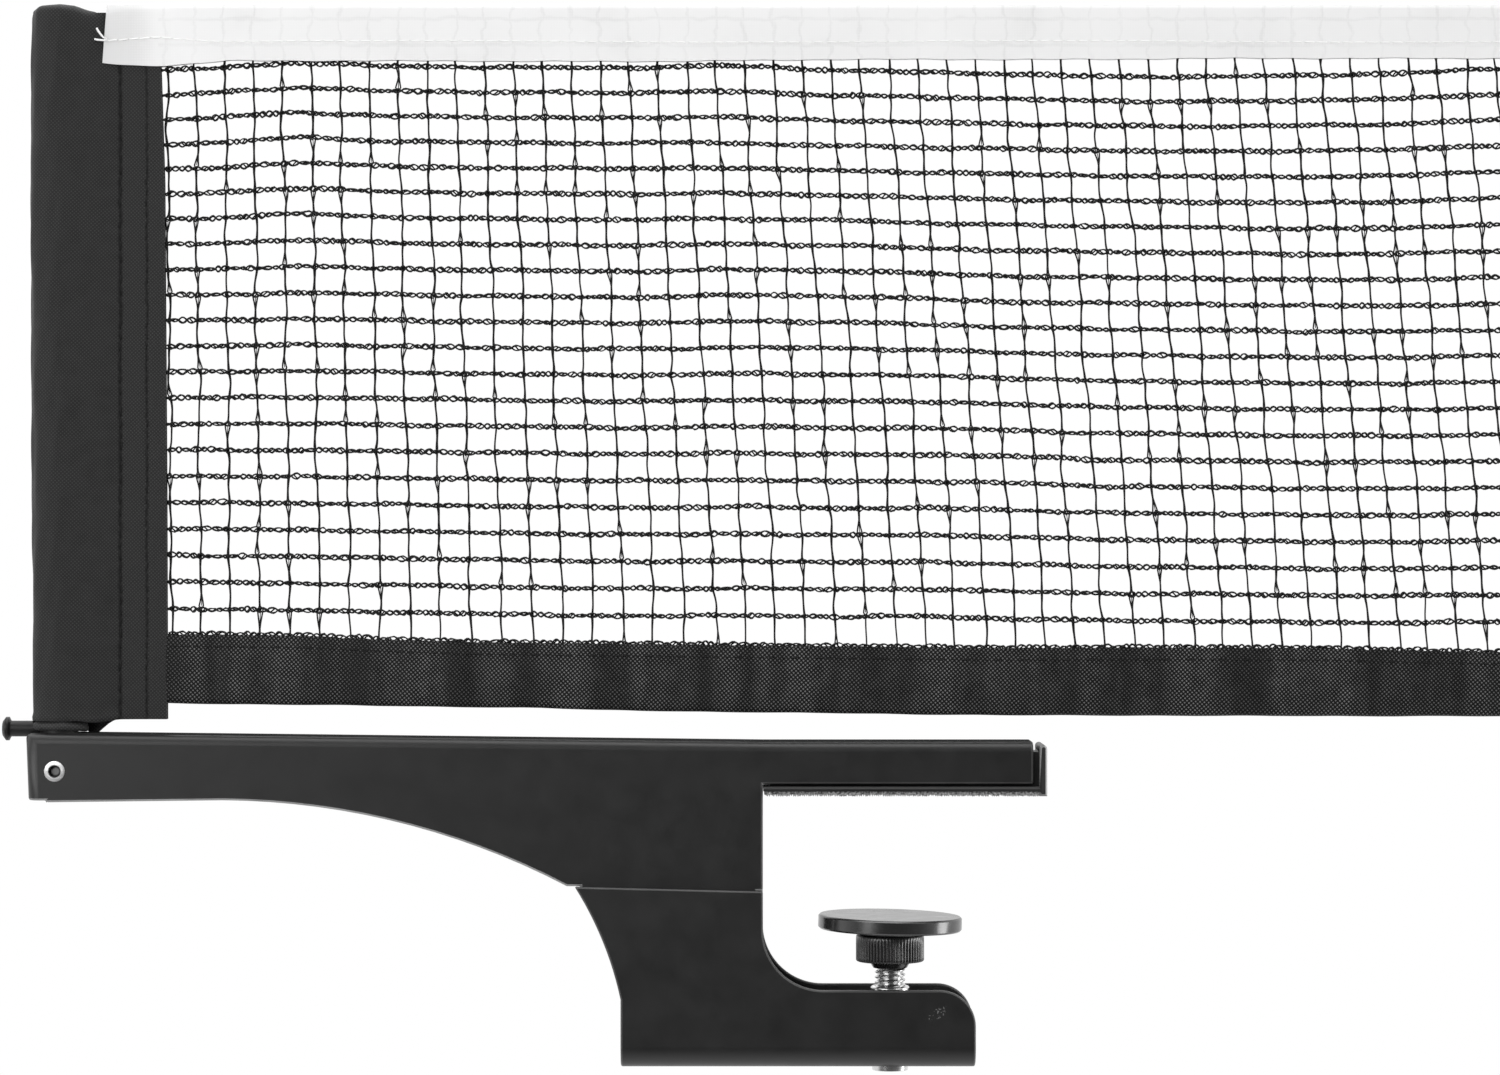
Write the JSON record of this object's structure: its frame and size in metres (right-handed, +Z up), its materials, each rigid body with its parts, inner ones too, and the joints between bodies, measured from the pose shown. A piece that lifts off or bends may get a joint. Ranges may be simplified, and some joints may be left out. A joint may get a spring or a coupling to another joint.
{
  "type": "table tennis net clamp",
  "caption": "Screw clamp for a table's edge that carries a net post, with the end of a table tennis net in a sleeve on the post.",
  "frame": {"origin": "on the clamp screw's axis, in the pad's face that rests on the table top", "axes": "+X along the arm towards the table's middle and the rest of the net, +Z up, -Y towards the clamp's front with the set screw"},
  "size_m": [0.2969, 0.028, 0.2077],
  "materials": {
    "black_steel": "satin",
    "black_disc": "satin",
    "post_steel": "satin",
    "bright_steel": "zinc plated",
    "black_plastic": "moulded",
    "grip_rubber": "toothed",
    "black_nylon": "woven",
    "net_cord": "knitted",
    "white_tape": "woven tape"
  },
  "bodies": {
    "clamp_frame": {"upper_bracket": "black_steel", "lower_bracket": "black_steel", "jaw_shoe": "black_plastic", "jaw_pad": "grip_rubber", "post_socket": "black_plastic", "screw_bush": "bright_steel"},
    "disc_plate": {"pressure_disc": "black_disc", "disc_snap_ring": "bright_steel"},
    "screw": {"clamp_stud": "bright_steel", "thumb_hub": "black_disc"},
    "net_post": {"post": "post_steel", "post_cap": "black_plastic", "cord_peg": "black_plastic"},
    "post_lock": {"set_screw": "bright_steel"},
    "net": {"net_sleeve": "black_nylon", "net_rows": "net_cord", "net_columns": "net_cord", "net_top_tape": "white_tape", "net_hem": "black_nylon"}
  },
  "joints": [
    {"name": "screw_lift", "type": "slide", "parent": "clamp_frame", "child": "disc_plate", "axis": [0, 0, 1], "range_m": [-0.0034, 0.011]},
    {"name": "screw_turn", "type": "hinge", "parent": "disc_plate", "child": "screw", "pos_m": [0, 0, -0.0302], "axis": [0, 0, 1], "range_deg": [-1230, 3966]},
    {"name": "post_height", "type": "slide", "parent": "clamp_frame", "child": "net_post", "axis": [0, 0, 1], "range_m": [0, 0.003]},
    {"name": "net_swing", "type": "hinge", "parent": "net_post", "child": "net", "pos_m": [-0.162, 0, 0.084], "axis": [0, 0, 1], "range_deg": [-90, 90]},
    {"name": "set_screw_turn", "type": "hinge", "parent": "clamp_frame", "child": "post_lock", "pos_m": [-0.162, -0.0048, 0.00485], "axis": [0, -1, 0], "range_deg": [0, 720]}
  ],
  "couplings": [
    {"joint": "screw_turn", "follows": "screw_lift", "rad_per_m": 6283.2}
  ]
}
